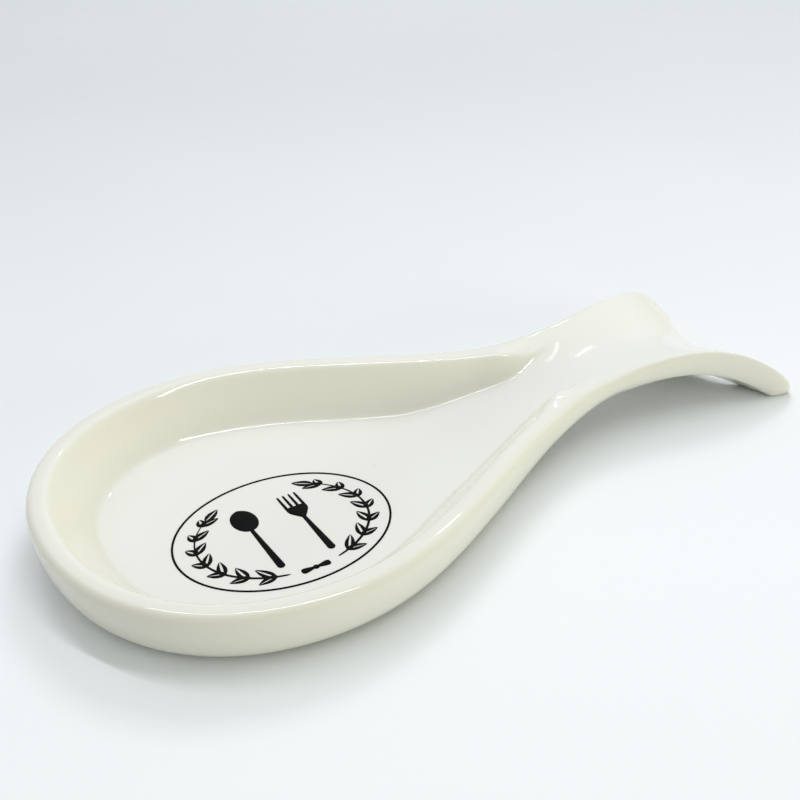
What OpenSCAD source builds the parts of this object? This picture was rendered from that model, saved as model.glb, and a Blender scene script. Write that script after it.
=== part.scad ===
// Spoon rest: a one-piece glazed ceramic tray with a teardrop bowl, a bridged
// handle and a fishtail end whose two tips come down to the table.
// Millimetres. +X runs from the bowl's front to the tail, +Y is the left side
// seen from the bowl, +Z is up, and z = 0 is the table under the foot.

/* [Overall] */
// Length from the front of the bowl to the tips of the tail
length = 250; // [200:1:320]
// Half of the widest part of the bowl, at the rim
bowl_half_width = 64.5; // [40:0.5:80]
// Distance from the front of the bowl to its widest place
bowl_widest_at = 65; // [45:1:80]
// Roundness of the bowl's front: 2 is an ellipse, more is squarer
bowl_front_power = 2.15; // [1.8:0.05:3]
// Height of the bowl's rim above the table
rim_height = 19; // [14:0.5:30]

/* [Bowl] */
// Height of the flat floor above the table
floor_height = 4.8; // [3.5:0.1:8]
// Radius of the rounded rim
rim_radius = 2.4; // [1.5:0.1:3.5]
// Inset from the outline where the inner wall starts to fall
wall_top_inset = 4.5; // [3:0.1:7]
// Inset from the outline where the inner wall meets the floor
wall_foot_inset = 20.5; // [11:0.5:22]
// Share of the inner wall's fall that each of its rounded ends takes
wall_rounding_share = 0.2; // [0.1:0.05:0.5]
// Inset from the outline where the outer wall has turned under the bowl
under_inset = 7.5; // [6:0.5:16]

/* [Handle] */
// Distance from the front to the narrowest place of the neck
neck_at = 185.5; // [150:1:205]
// Half of the width of the neck
neck_half_width = 20.8; // [14:0.5:30]
// Where the floor of the bowl starts to climb into the handle
ramp_start = 120; // [90:1:140]
// Where the climb ends and the handle's shallow trough begins
ramp_end = 186; // [150:1:200]
// Where the inner wall starts to fade into the handle
fade_start = 170; // [150:1:180]
// Where the inner wall has faded
fade_end = 192; // [182:1:204]
// Inset at the bowl's narrow end where the inner wall starts to fall
end_top_inset = 9.5; // [4.5:0.5:11]
// Inset at the bowl's narrow end where the inner wall meets the climb
end_foot_inset = 14; // [12:0.5:22]
// Depth of the trough along the handle
handle_dish = 3.7; // [0:0.1:8]
// Thickness of the handle at its middle
handle_thickness = 6.8; // [4:0.1:10]
// Where the underside leaves the table behind the foot
under_start = 126; // [110:1:150]
// Where the underside has become the arch of the handle
under_end = 186; // [160:1:200]

/* [Fishtail] */
// Distance from the front to the top of the arch
arch_at = 205; // [190:1:225]
// Height of the edge at the top of the arch
arch_height = 22.8; // [16:0.1:34]
// Where the edge starts to rise from the bowl's rim height
arch_start = 155; // [130:1:180]
// Half of the width across the two tips
tail_half_width = 36.5; // [28:0.5:60]
// How late the tail flares out: more keeps the neck longer
flare_power = 1.9; // [1.2:0.05:3]
// How late the edge drops to the table: more keeps the arch longer
droop_power = 2.65; // [1.6:0.05:4]
// Height of the edge over the table at the tips
tip_height = 4; // [3:0.1:8]
// Distance from the front to the middle of the concave end edge
notch_at = 233; // [222:1:246]
// Width of each rounded tip
tip_width = 8.4; // [4:0.5:14]
// Share of the tip's width that its outer corner is set back
tip_round_share = 0.5; // [0.2:0.05:0.8]
// How square the concave end edge runs into the tips
notch_power = 2; // [1.4:0.05:3]
// Depth of the trough at the end edge
tail_dish = 7; // [0:0.1:12]
// Thickness of the tray at the tips, before they are levelled on the table
tip_thickness = 8.6; // [4:0.1:9]
// Share of the wall band that is left at the tips
tip_band_share = 0.42; // [0.3:0.01:1]

/* [Foot] */
// Height of the unglazed foot that the tray stands on
foot_height = 1; // [0.6:0.1:3]
// Inset of the foot from the outline at the front and sides
foot_inset = 14; // [11:0.5:20]
// Width of the foot's flat ring
foot_width = 4; // [2:0.5:8]
// How far behind the widest place the foot reaches
foot_reach = 58; // [40:1:66]

/* [Print] */
// Thickness of the fired-on print
print_thickness = 0.2; // [0.1:0.05:0.6]
// Distance from the front to the middle of the print
print_at = 67; // [55:1:80]
// Clearance between the print and the foot of the near inner wall
print_clearance = 4.5; // [2:0.5:8]
// Half of the print's height across the tray, to the outer edge of its thin ring
print_radius = 26.5; // [20:0.5:33]
// How much longer the print is along the tray than across it
print_stretch = 1.26; // [1:0.01:1.5]
// Width of the thin ring
ring_line = 0.7; // [0.4:0.1:2]
// Radius of the two leafy sprigs' stems
sprig_radius = 21; // [15:0.5:26]
// Width of the stems
stem_width = 0.8; // [0.4:0.1:2]
// Angle of each sprig's lower end, from the bottom of the ring
sprig_start = 16; // [8:1:40]
// Angle of each sprig's upper end, from the bottom of the ring
sprig_end = 140; // [90:1:160]
// Length of a leaf
leaf_length = 7.2; // [4:0.1:10]
// Width of a leaf
leaf_width = 2.7; // [1.5:0.1:4]
// Leaning angle of the leaves from the stem
leaf_lean = 38; // [15:1:60]
// Leaves along each side of a stem
leaf_pairs = 7; // [4:1:12]
// Length of the printed spoon
spoon_length = 30; // [20:0.5:36]
// Width of the printed spoon's bowl
spoon_width = 8; // [5:0.1:10]
// Length of the printed spoon's bowl
spoon_bowl = 11; // [7:0.1:14]
// Width of the printed handles at their ends
handle_end = 2.4; // [1.2:0.1:4]
// Width of the printed handles at their narrow part
handle_waist = 1.2; // [0.8:0.1:3]
// Sideways distance of the printed spoon and fork from the middle
utensil_gap = 8; // [4:0.5:14]
// Width of the printed fork's head
fork_width = 6.6; // [4:0.1:9]
// Length of the printed fork's tines
tine_length = 7; // [4:0.1:10]
// Width of one tine
tine_width = 1; // [0.6:0.1:2]
// Length of the fork's solid head under the tines
fork_root = 5; // [3:0.1:8]
// Half of the length of the printed knot at the bottom
knot_half = 4.6; // [2:0.1:7]
// Height of the printed knot
knot_height = 3.2; // [1.5:0.1:5]

/* [Smoothness] */
// Outline pieces round the bowl's front
front_pieces = 9; // [6:1:14]
// Outline pieces from the widest place to the tips
side_pieces = 17; // [12:1:24]
// Outline pieces along half of the end edge
end_pieces = 6; // [4:1:10]
// Points on each outline piece
points_per_piece = 2; // [1:1:4]
// Rings across the floor and handle
floor_rings = 6; // [3:1:10]
// Rings down the inner wall
wall_rings = 9; // [5:1:14]
// Rings round the rim
rim_rings = 4; // [3:1:8]
// Rings down the outer wall
outer_rings = 7; // [4:1:12]
// Rings across the underside
under_rings = 3; // [2:1:8]

/* [Shown part] */
// Which named part is drawn

/* [Hidden] */
middle = length / 2;
leaf_steps = 8;
sprig_steps = 24;
// sideways place of the middle of the print
print_side = print_radius + print_clearance - (bowl_half_width - wall_foot_inset);
// where the lines that run in from the outline meet the long axis
spine_front = bowl_widest_at * 0.78;
spine_wide = bowl_widest_at * 0.97;
spine_tail = arch_at + (notch_at - arch_at) * 0.1;
spine_notch = arch_at + (notch_at - arch_at) * 0.5;
GLAZE = [0.95, 0.95, 0.92];
BISCUIT = [0.86, 0.82, 0.74];
INK = [0.07, 0.07, 0.07];

// Helpers
function limit(v, low, high) = max(low, min(high, v));
function ease(t) = let(c = limit(t, 0, 1)) c * c * (3 - 2 * c);
function mix(a, b, t) = a + (b - a) * t;

// Straight climb from 0 to 1 whose two ends are rounded by parabolas
function rounded_ramp(t, rounding) =
    let(
        c = limit(t, 0, 1),
        near = min(c, 1 - c),
        bend = pow(min(near, rounding), 2) / (2 * rounding * (1 - rounding)),
        climb = bend + max(near - rounding, 0) / (1 - rounding)
    )
    c == near ? climb : 1 - climb;
function flip(p) = [p[0], -p[1]];

// Half of the plan width at a distance x from the front
function bowl_front(x) =
    bowl_half_width
    * pow(1 - pow(limit(1 - x / bowl_widest_at, 0, 1), bowl_front_power), 1 / bowl_front_power);
function shoulder(x) =
    mix(neck_half_width, bowl_half_width,
        (1 + cos(180 * (x - bowl_widest_at) / (neck_at - bowl_widest_at))) / 2);
function flare(x) =
    mix(neck_half_width, tail_half_width,
        pow(limit((x - neck_at) / (length - neck_at), 0, 1), flare_power));
function half_width(x) =
    x < bowl_widest_at ? bowl_front(x) : x < neck_at ? shoulder(x) : flare(x);

// Heights along the tray
function rise(x) = mix(rim_height, arch_height, ease((x - arch_start) / (arch_at - arch_start)));
function droop(x) =
    mix(arch_height, tip_height, pow(limit((x - arch_at) / (length - arch_at), 0, 1), droop_power));
function edge_height(x) = x < arch_at ? rise(x) : droop(x);
function dish(x) = mix(handle_dish, tail_dish, tail_share(x));
function ramp_share(x) = ease((x - ramp_start) / (ramp_end - ramp_start));
function band_share(x) = mix(1, tip_band_share, ease((x - arch_start) / (length - arch_start)));
function thickness(x) =
    mix(handle_thickness, tip_thickness, ease((x - arch_at) / (length - arch_at)));
function tail_share(x) = ease((x - arch_at) / (notch_at - arch_at));

// Height of the handle's shallow trough at x, y, carried on over the bowl
function saddle(x, y) =
    let(across = limit(abs(y) / max(half_width(x), rim_radius), 0, 1))
    edge_height(x) - dish(x) * (1 - across * across * (2 - across));

// Height of the tray's middle surface: flat in the bowl, then a climb to the saddle
function trough(x, y) = mix(floor_height, saddle(x, y), ramp_share(x));

// Height over the wall band that belongs to an outline point. It is level round the bowl,
// and past the neck it follows the saddle, so that the wall fades out without a step.
function crown(outer, p) =
    mix(edge_height(outer[0]), saddle(p[0], p[1]),
        ease((outer[0] - fade_start) / (fade_end - fade_start)));

// Insets at an outline point where the inner wall starts and ends its fall
function wall_brink(x) =
    mix(wall_top_inset, end_top_inset, ease((x - arch_start) / (ramp_end - arch_start)));
function wall_foot(x) = mix(wall_foot_inset, end_foot_inset, ramp_share(x));

// Height of the top skin at point p and an inset from its outline point
function top_skin(outer, p, inset) =
    let(
        brink = wall_brink(outer[0]),
        fall = rounded_ramp((inset - brink) / (wall_foot(outer[0]) - brink), wall_rounding_share),
        gap = limit(rim_radius - inset, 0, rim_radius),
        drop = rim_radius - sqrt(rim_radius * rim_radius - gap * gap)
    )
    mix(crown(outer, p), trough(p[0], p[1]), fall) - drop;

// Height of the under skin at an inset from the outline
function under_low(x, y) =
    let(share = ease((x - under_start) / (under_end - under_start)))
    max(0, mix(foot_height, saddle(x, y) - thickness(x), share));
function under_skin(outer, p, inset) =
    let(
        t = limit(inset / under_inset, 0, 1),
        left = 1 - sqrt(max(0, 1 - (1 - t) * (1 - t)))
    )
    mix(under_low(p[0], p[1]), crown(outer, outer) - rim_radius, left);

// Half outline: control points, then a smooth curve through their neighbourhood
front_steps = [for (i = [0 : front_pieces]) bowl_widest_at * (1 - cos(90 * i / front_pieces))];
side_steps = [
    for (i = [1 : side_pieces])
        mix(bowl_widest_at, length - tip_width * tip_round_share, i / side_pieces)
];
end_from = tail_half_width - tip_width;
end_steps = concat(
    [[length, tail_half_width - tip_width * 0.3], [length, end_from]],
    [
        for (i = [1 : end_pieces])
            let(y = end_from * (1 - i / end_pieces))
            [mix(notch_at, length - tip_width * 0.1, pow(y / end_from, notch_power)), y]
    ]
);
half_controls = concat(
    [for (x = concat(front_steps, side_steps)) [x, half_width(x)]],
    end_steps
);
last_control = len(half_controls) - 1;
controls = concat(
    [flip(half_controls[1])],
    half_controls,
    [flip(half_controls[last_control - 1])]
);
function smooth_point(i, f) =
    let(
        a = pow(1 - f, 3),
        b = 3 * pow(f, 3) - 6 * f * f + 4,
        c = -3 * pow(f, 3) + 3 * f * f + 3 * f + 1,
        d = pow(f, 3)
    )
    (a * controls[i] + b * controls[i + 1] + c * controls[i + 2] + d * controls[i + 3]) / 6;
raw_outline = concat(
    [
        for (i = [0 : last_control - 1])
            for (j = [0 : points_per_piece - 1])
                smooth_point(i, j / points_per_piece)
    ],
    [smooth_point(last_control - 1, 1)]
);
front_x = raw_outline[0][0];
stretch = length / (max([for (p = raw_outline) p[0]]) - front_x);
half_outline = [for (p = raw_outline) [(p[0] - front_x) * stretch, p[1]]];
last_point = len(half_outline) - 1;
front_points = front_pieces * points_per_piece;
tip_point = (front_pieces + side_pieces + 1) * points_per_piece;

// Unit vector that points inwards from outline point i
function before(i) = i == 0 ? flip(half_outline[1]) : half_outline[i - 1];
function after(i) = i == last_point ? flip(half_outline[i - 1]) : half_outline[i + 1];
function inward(i) =
    let(t = after(i) - before(i))
    [t[1], -t[0]] / norm(t);

// Point of the long axis that outline point i looks at
function spine_at(i) =
    i > tip_point
        ? mix(spine_tail, spine_notch, (i - tip_point) / (last_point - tip_point))
    : i < front_points
        ? mix(spine_front, spine_wide, i / front_points)
    : mix(spine_wide, spine_tail, pow((i - front_points) / (tip_point - front_points), 1.3));

// One ring point: share runs from 0 on the outline to 1 on the spine
function toward(i, share) =
    let(p = half_outline[i])
    [mix(p[0], spine_at(i), share), p[1] * (1 - share)];
function reach(i) =
    let(v = [spine_at(i), 0] - half_outline[i])
    max(v * inward(i), norm(v) * 0.4);
function band_end(i) = min(0.86, wall_foot_inset * band_share(half_outline[i][0]) / reach(i));

// Rings, listed from the top of the spine over the rim to the bottom of the spine
top_list = concat(
    [for (k = [0 : floor_rings - 1]) [1 - k / floor_rings, 1, 1]],
    [for (k = [0 : wall_rings - 1]) [0, mix(wall_foot_inset, rim_radius, k / wall_rings), 1]],
    [for (k = [0 : rim_rings]) [0, rim_radius * (1 - sin(90 * k / rim_rings)), 1]]
);
under_list = concat(
    [for (k = [1 : outer_rings]) [0, under_inset * (1 - cos(90 * k / outer_rings)), 0]],
    [for (k = [1 : under_rings]) [k / under_rings, under_inset, 0]]
);
rings = concat(top_list, under_list);
last_ring = len(rings) - 1;

function ring_share(i, ring) =
    let(
        is_top = ring[2] == 1,
        full = is_top ? band_end(i) : band_end(i) * under_inset / wall_foot_inset
    )
    ring[0] > 0 ? mix(full, 1, ring[0]) : band_end(i) * ring[1] / wall_foot_inset;
function ring_point(i, ring) =
    let(
        share = ring_share(i, ring),
        outer = half_outline[i],
        p = toward(i, share),
        inset = share * wall_foot_inset / band_end(i),
        z = ring[2] == 1
            ? top_skin(outer, p, inset)
            : under_skin(outer, p, inset)
    )
    [p[0] - middle, p[1], z];

// The body's points: the left half of every ring, then the right half
half_count = last_point + 1;
loop_count = 2 * last_point;
body_points = concat(
    [for (ring = rings) for (i = [0 : last_point]) ring_point(i, ring)],
    [
        for (ring = rings)
            for (i = [1 : last_point - 1])
                let(p = ring_point(i, ring))
                [p[0], -p[1], p[2]]
    ]
);
right_start = half_count * (last_ring + 1);
function wrap(u) = (u + loop_count) % loop_count;
function point_number(k, u) =
    let(
        v = wrap(u),
        on_spine = k == 0 || k == last_ring,
        mirrored = loop_count - v
    )
    v <= last_point ? k * half_count + v
    : on_spine ? k * half_count + mirrored
    : right_start + k * (last_point - 1) + mirrored - 1;

// Each cell between two rings is cut into two triangles. The cut turns over halfway along
// each side and under the rim, so that no triangle falls flat where cells meet the long axis.
function cut_forward(k, u) = (floor(2 * u / last_point) + (k < len(top_list) ? 0 : 1)) % 2 == 0;
body_faces = concat(
    [
        for (k = [0 : last_ring - 1])
            for (u = [0 : loop_count - 1])
                let(corner = cut_forward(k, u) ? point_number(k + 1, u + 1) : point_number(k, u + 1))
                [point_number(k, u), point_number(k + 1, u), corner]
    ],
    [
        for (k = [0 : last_ring - 1])
            for (u = [0 : loop_count - 1])
                let(corner = cut_forward(k, u) ? point_number(k, u) : point_number(k + 1, u))
                [corner, point_number(k + 1, u + 1), point_number(k, u + 1)]
    ]
);

// The tray: bowl, handle and fishtail in one piece of glazed ceramic
module glazed_body() {
    color(GLAZE)
        polyhedron(points = body_points, faces = body_faces, convexity = 8);
}

// Plan of the foot: two half ellipses that share their width
module egg(inset) {
    front = bowl_widest_at - inset;
    side = bowl_half_width - inset;
    back = foot_reach + foot_inset - inset;
    polygon([
        for (a = [0 : 5 : 355])
            [cos(a) * (cos(a) < 0 ? front : back), sin(a) * side]
    ]);
}

// Unglazed ring that the bowl stands on
module foot_ring() {
    color(BISCUIT)
        translate([bowl_widest_at - middle, 0, 0])
            linear_extrude(foot_height)
                difference() {
                    egg(foot_inset);
                    egg(foot_inset + foot_width);
                }
}

// Places a flat drawing on the bowl's floor, with its own middle at the print's middle
module printed() {
    color(INK)
        translate([print_at - middle, print_side, floor_height])
            linear_extrude(print_thickness)
                children();
}

// Stretches a round drawing along the tray
module stretched() {
    scale([print_stretch, 1])
        children();
}

// Oval with a given inset from the print's outer edge
module oval(inset) {
    long = print_radius * print_stretch - inset;
    high = print_radius - inset;
    polygon([for (a = [0 : 3 : 357]) [cos(a) * long, sin(a) * high]]);
}

// Thin oval ring round the print
module print_ring() {
    printed()
        difference() {
            oval(0);
            oval(ring_line);
        }
}

// Leaf with a pointed tip, its root at the origin
module leaf(long) {
    polygon(concat(
        [
            for (i = [0 : leaf_steps])
                let(t = i / leaf_steps)
                [t * long, -sin(180 * pow(t, 0.8)) * leaf_width / 2]
        ],
        [
            for (i = [1 : leaf_steps - 1])
                let(t = 1 - i / leaf_steps)
                [t * long, sin(180 * pow(t, 0.8)) * leaf_width / 2]
        ]
    ));
}

// Stem on an arc, with leaves to both sides and one at the end
module sprig() {
    outer = sprig_radius + stem_width / 2;
    inner = sprig_radius - stem_width / 2;
    polygon(concat(
        [
            for (i = [0 : sprig_steps])
                let(a = mix(sprig_start, sprig_end, i / sprig_steps) - 90)
                [cos(a) * outer, sin(a) * outer]
        ],
        [
            for (i = [0 : sprig_steps])
                let(a = mix(sprig_end, sprig_start, i / sprig_steps) - 90)
                [cos(a) * inner, sin(a) * inner]
        ]
    ));
    for (i = [0 : leaf_pairs - 1]) {
        a = mix(sprig_start, sprig_end, (i + 0.6) / leaf_pairs) - 90;
        size = leaf_length * (1 - 0.3 * i / leaf_pairs);
        translate([cos(a) * sprig_radius, sin(a) * sprig_radius]) {
            rotate(a + 90 - leaf_lean)
                translate([-stem_width, 0])
                    leaf(size * 0.72);
            rotate(a + 90 + leaf_lean)
                translate([-stem_width, 0])
                    leaf(size);
        }
    }
    a = sprig_end - 90;
    translate([cos(a) * sprig_radius, sin(a) * sprig_radius])
        rotate(a + 90)
            translate([-stem_width, 0])
                leaf(leaf_length * 0.8);
}

// Sprig on the bowl's front side of the print
module print_sprig_left() {
    printed()
        mirror([1, 0])
            stretched()
                sprig();
}

// Sprig on the handle's side of the print
module print_sprig_right() {
    printed()
        stretched()
            sprig();
}

// Handle of a printed utensil, from its end at the bottom to the head
module utensil_handle(long) {
    polygon([
        [-handle_end / 2, 0], [handle_end / 2, 0],
        [handle_waist / 2, long], [-handle_waist / 2, long]
    ]);
    circle(d = handle_end, $fn = 24);
}

// Printed spoon
module print_spoon() {
    printed()
        translate([-utensil_gap, -spoon_length / 2]) {
            utensil_handle(spoon_length - spoon_bowl * 0.9);
            translate([0, spoon_length - spoon_bowl / 2])
                scale([spoon_width / spoon_bowl, 1])
                    circle(d = spoon_bowl, $fn = 48);
        }
}

// Printed fork
module print_fork() {
    neck = spoon_length - tine_length - fork_root;
    printed()
        translate([utensil_gap, -spoon_length / 2]) {
            utensil_handle(neck + fork_root / 2);
            polygon([
                [-handle_waist / 2, neck - fork_root * 0.6], [handle_waist / 2, neck - fork_root * 0.6],
                [fork_width / 2, neck + fork_root * 0.6], [fork_width / 2, neck + fork_root],
                [-fork_width / 2, neck + fork_root], [-fork_width / 2, neck + fork_root * 0.6]
            ]);
            for (i = [0 : 3])
                translate([mix(-fork_width / 2, fork_width / 2 - tine_width, i / 3), neck + fork_root * 0.9])
                    square([tine_width, tine_length]);
        }
}

// Small knot between the two sprigs
module print_knot() {
    printed()
        translate([0, -sprig_radius]) {
            circle(d = knot_height * 0.6, $fn = 24);
            polygon([
                [0, -knot_height * 0.16], [knot_half, -knot_height / 2],
                [knot_half * 0.8, 0], [knot_half, knot_height / 2],
                [0, knot_height * 0.16], [-knot_half, knot_height / 2],
                [-knot_half * 0.8, 0], [-knot_half, -knot_height / 2]
            ]);
        }
}

glazed_body();
foot_ring();
print_ring();
print_sprig_left();
print_sprig_right();
print_spoon();
print_fork();
print_knot();
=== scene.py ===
"""Looks of a glazed ceramic spoon rest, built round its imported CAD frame.

The tray's skin, its unglazed foot and its fired-on print are worked out with numpy in
millimetres, in the CAD part's own frame: +X runs from the bowl's front to the fishtail,
+Y is across the tray, +Z is up and z = 0 is the table. Meshes are written in metres.
"""

import logging
import math
from dataclasses import dataclass, field
from enum import Enum
from typing import Any, ClassVar, Sequence

import bmesh
import bpy
import numpy as np
from mathutils import Matrix, Vector

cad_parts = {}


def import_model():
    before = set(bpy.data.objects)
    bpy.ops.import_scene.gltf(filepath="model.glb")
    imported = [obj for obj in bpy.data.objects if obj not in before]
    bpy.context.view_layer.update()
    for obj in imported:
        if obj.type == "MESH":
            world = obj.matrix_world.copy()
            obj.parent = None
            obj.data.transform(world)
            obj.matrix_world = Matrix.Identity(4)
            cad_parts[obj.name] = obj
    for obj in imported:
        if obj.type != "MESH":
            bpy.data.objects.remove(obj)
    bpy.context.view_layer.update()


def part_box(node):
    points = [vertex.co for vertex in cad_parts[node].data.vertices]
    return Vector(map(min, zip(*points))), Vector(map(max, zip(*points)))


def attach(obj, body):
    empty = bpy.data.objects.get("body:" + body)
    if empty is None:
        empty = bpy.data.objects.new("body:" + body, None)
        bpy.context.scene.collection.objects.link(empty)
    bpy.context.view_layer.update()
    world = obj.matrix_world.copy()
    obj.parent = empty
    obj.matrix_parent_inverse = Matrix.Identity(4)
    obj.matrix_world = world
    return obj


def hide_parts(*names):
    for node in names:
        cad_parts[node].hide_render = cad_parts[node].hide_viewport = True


LOG = logging.getLogger("spoon_rest")
MM = 0.001
MERGE_DISTANCE = 1e-7  # metres
TINY = 1e-9  # keeps divisors off zero
BODY = "root"

Array = np.ndarray
Material = bpy.types.Material
Pair = tuple[float, float]
Triple = tuple[float, float, float]
Colour = Triple
WHITE = (1.0, 1.0, 1.0)
COOL = (0.98, 0.99, 1.0)


class Slot(Enum):
    """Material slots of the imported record."""

    GLAZE = "glaze"
    BISCUIT = "biscuit"
    INK = "ink"


def ease(share: Array) -> Array:
    """Smooth step: 3 t^2 - 2 t^3 of the share t, held between 0 and 1."""
    t = np.clip(share, 0.0, 1.0)
    return t * t * (3.0 - 2.0 * t)


def mix(low: Any, high: Any, share: Any) -> Any:
    """Straight blend: low at share 0 and high at share 1."""
    return low + (high - low) * share


def part_way(x: Array, start: float, end: float) -> Array:
    """Straight share of the way from the start to the end, held between 0 and 1."""
    return np.clip((x - start) / (end - start), 0, 1)


def between(x: Array, start: float, end: float) -> Array:
    """Smooth step of x: 0 up to the start and 1 from the end on."""
    return ease((x - start) / (end - start))


def sweep(count: int) -> Array:
    """Shares from 0 to 1 that gather at both ends: (1 - cos t) / 2, t from 0 to pi."""
    return (1 - np.cos(np.linspace(0, math.pi, count))) / 2


def full_turn(count: int) -> Array:
    """Angles of a full turn in radians, without its end."""
    return np.linspace(0, 2 * math.pi, count, endpoint=False)


def loop_steps(line: Array) -> Array:
    """Steps along a closed line, from the point before each point to the point after it."""
    return np.roll(line, -1, axis=0) - np.roll(line, 1, axis=0)


def right_of(steps: Array) -> Array:
    """Unit directions to the right of steps in plan, n by 2."""
    length = np.maximum(np.linalg.norm(steps, axis=1), TINY)
    return np.stack([steps[:, 1], -steps[:, 0]], -1) / length[:, None]


def rounded_ramp(share: Array, rounding: float) -> Array:
    """Straight climb from 0 to 1 whose two ends are eased by parabolas.

    With r the rounding and d = 2 r (1 - r) it is t^2 / d below r, (t - r / 2) / (1 - r) in
    the middle, and 1 - (1 - t)^2 / d above 1 - r.

    Args:
        share: Values of any size, held between 0 and 1.
        rounding: Share of the climb that each end takes, over 0 and up to a half.

    Returns:
        The eased values.
    """
    t = np.clip(share, 0.0, 1.0)
    near = np.minimum(t, 1 - t)
    bend = np.minimum(near, rounding) ** 2 / (2 * rounding * (1 - rounding))
    climb = bend + np.maximum(near - rounding, 0) / (1 - rounding)
    return np.where(t < 0.5, climb, 1 - climb)


@dataclass
class MeshData:
    """Points, faces and point attributes of a piece, in millimetres.

    Attributes:
        points: Array of n by 3 coordinates.
        faces: Array of m by 3 or 4 point numbers.
        marks: Point attributes by name, each with n values.
    """

    points: Array
    faces: Array
    marks: dict[str, Array] = field(default_factory=dict)

    @staticmethod
    def together(parts: Sequence["MeshData"]) -> "MeshData":
        """Puts unmarked meshes with like faces into one, and renumbers their faces."""
        starts = np.cumsum([0] + [len(part.points) for part in parts[:-1]])
        faces = np.concatenate([part.faces + start for part, start in zip(parts, starts)])
        return MeshData(np.concatenate([part.points for part in parts]), faces)


def steepness(
    points: Array, triangles: Array, level: float = 0.98, span: float = 0.24
) -> Array:
    """Finds how steep a skin is at each of its points.

    The normal of a point is the sum of its triangles' cross products. With z the height of
    the unit normal, the steepness is the smooth step of (level - z) / span.

    Args:
        points: Array of n by 3 coordinates.
        triangles: Array of m by 3 point numbers.
        level: Height of the unit normal above which the skin counts as level.
        span: Fall of that height over which the skin becomes steep.

    Returns:
        One value for each point: 0 where it is level, 1 where it is steep or faces down.
    """
    a, b, c = (points[triangles[:, k]] for k in range(3))
    normals = np.zeros_like(points)
    for corner in triangles.T:
        np.add.at(normals, corner, np.cross(b - a, c - a))
    upward = normals[:, 2] / np.maximum(np.linalg.norm(normals, axis=1), TINY)
    return ease((level - upward * np.sign(upward.sum())) / span)


def add_object(name: str, data: Any) -> bpy.types.Object:
    """Makes an object of a mesh, a lamp or a camera and links it to the scene."""
    made = bpy.data.objects.new(name, data)
    bpy.context.scene.collection.objects.link(made)
    return made


def closed_grid(grid: Array) -> MeshData:
    """Turns a grid whose rows are closed loops into a mesh of four-sided faces.

    Each cell of rows r, r + 1 and columns c, c + 1 gives one face. Columns wrap round.

    Args:
        grid: Array of rows by columns by 3, in millimetres.

    Returns:
        The mesh, open at its first and last row unless those rows shrink to a line.
    """
    rows, columns = grid.shape[:2]
    r = np.arange(rows - 1)[:, None] * columns
    c = np.arange(columns)[None, :]
    n = (c + 1) % columns
    faces = np.stack([r + c, r + columns + c, r + columns + n, r + n], axis=-1)
    return MeshData(grid.reshape(-1, 3), faces.reshape(-1, 4))


@dataclass(frozen=True)
class Piece:
    """A visible piece: a mesh object that rides on the tray's body.

    Attributes:
        name: Name of the piece.
        slot: Material slot that it takes its finish from.
        replaced: CAD nodes that it stands for.
    """

    name: str
    slot: Slot
    replaced: tuple[str, ...]

    def build(self, data: MeshData, material: Material) -> bpy.types.Object:
        """Writes the mesh in metres, merges doubles, points faces outwards and dresses it.

        Args:
            data: Mesh in millimetres.
            material: Finish of the piece.

        Returns:
            The finished object, at the origin and unturned.
        """
        mesh = bpy.data.meshes.new(self.name)
        mesh.from_pydata((data.points * MM).tolist(), [], data.faces.tolist())
        for mark, values in data.marks.items():
            layer = mesh.attributes.new(mark, "FLOAT", "POINT")
            layer.data.foreach_set("value", np.ascontiguousarray(values, dtype=np.float32))
        work = bmesh.new()
        work.from_mesh(mesh)
        bmesh.ops.remove_doubles(work, verts=work.verts, dist=MERGE_DISTANCE)
        bmesh.ops.recalc_face_normals(work, faces=work.faces)
        work.to_mesh(mesh)
        work.free()
        mesh.shade_smooth()
        mesh.materials.append(material)
        made = add_object(self.name, mesh)
        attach(made, BODY)
        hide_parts(*self.replaced)
        LOG.info("%s: %d faces, slot %s", self.name, len(mesh.polygons), self.slot.value)
        return made


@dataclass(frozen=True)
class Fineness:
    """Numbers of outline pieces, points and rings of the tray's mesh."""

    front_pieces: int = 9
    side_pieces: int = 17
    end_pieces: int = 6
    points_per_piece: int = 6
    floor_rings: int = 12
    wall_rings: int = 24
    rim_rings: int = 9
    outer_rings: int = 16
    under_rings: int = 6


@dataclass(frozen=True)
class Rings:
    """Rings of points from the spine over the rim to the spine's underside.

    Attributes:
        inner: Share of the way from the band's end to the spine.
        inset: Inset from the outline, before the band narrows towards the tips.
        is_top: True on the top skin.
    """

    inner: Array
    inset: Array
    is_top: Array


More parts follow.
